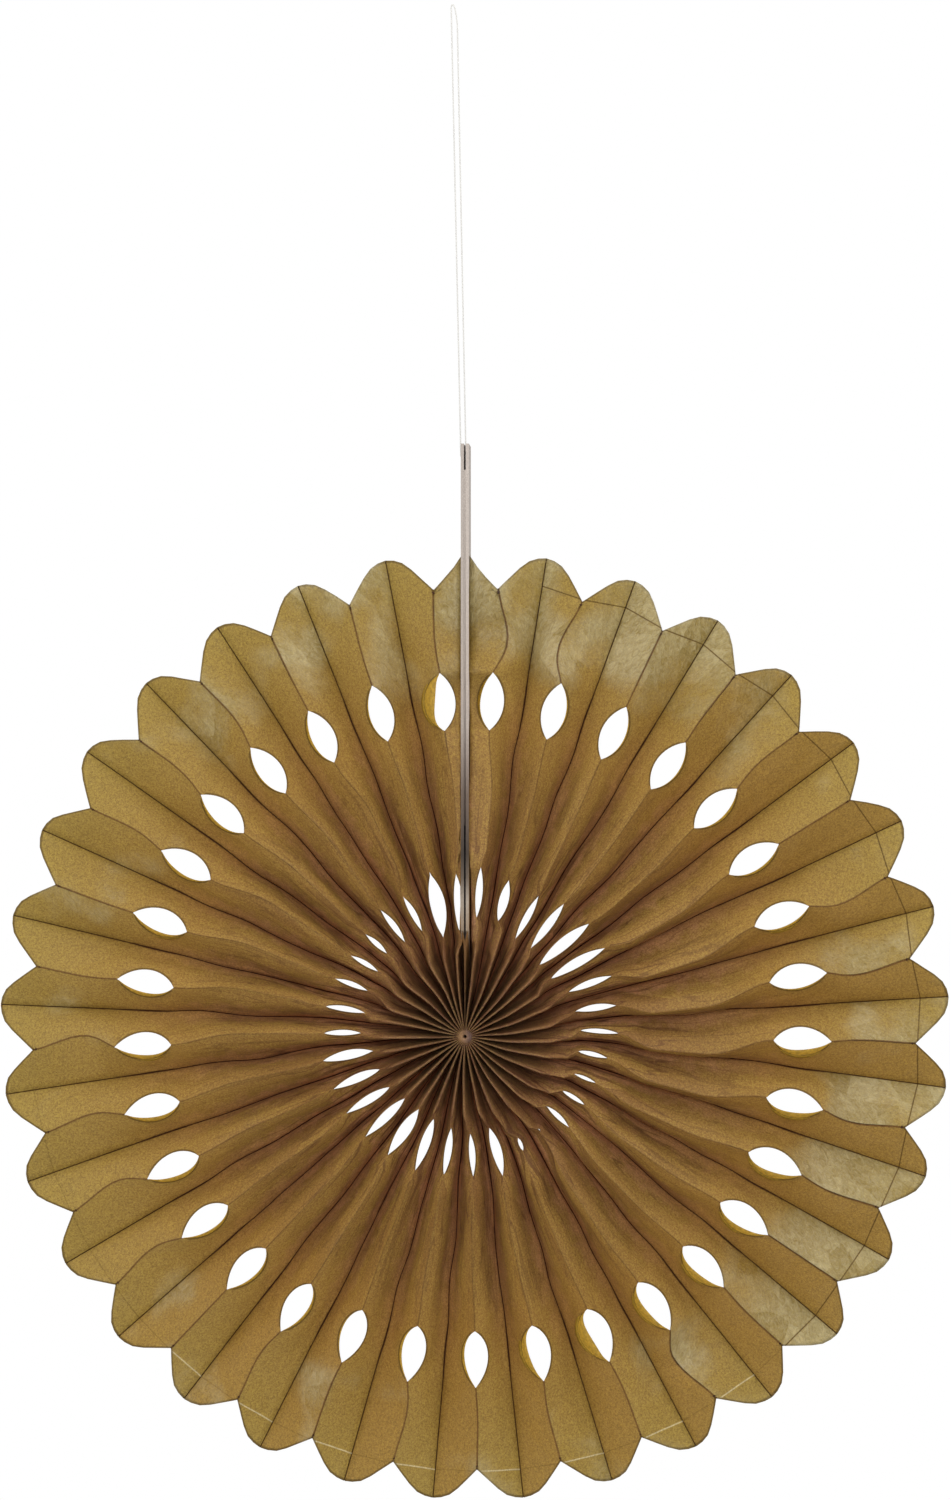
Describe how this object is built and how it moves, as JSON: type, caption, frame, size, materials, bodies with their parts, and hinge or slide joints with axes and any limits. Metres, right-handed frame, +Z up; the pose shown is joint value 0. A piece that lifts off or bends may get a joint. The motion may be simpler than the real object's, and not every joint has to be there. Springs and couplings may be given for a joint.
{
  "type": "paper fan rosette",
  "caption": "Hanging paper fan rosette: accordion-folded tissue opened into a full circle with pointed petals and leaf-shaped cut-outs, on two card strips with a thread loop.",
  "frame": {"origin": "the top of the hanging thread's loop, where a hook carries the rosette", "axes": "+Z up along the hanging thread, the rosette's front (the side with the folds that carry the leaf holes) faces -Y, +X to the right as seen from the front"},
  "size_m": [0.406, 0.0204, 0.6389],
  "materials": {
    "tissue": "gold tissue paper, matt with a slight sheen",
    "card": "uncoated greyboard",
    "thread": "white cotton thread"
  },
  "bodies": {
    "root": {"tissue_fan": "tissue", "card_strip_left": "card", "card_strip_right": "card", "centre_tie": "thread", "hanging_thread": "thread"}
  },
  "joints": []
}
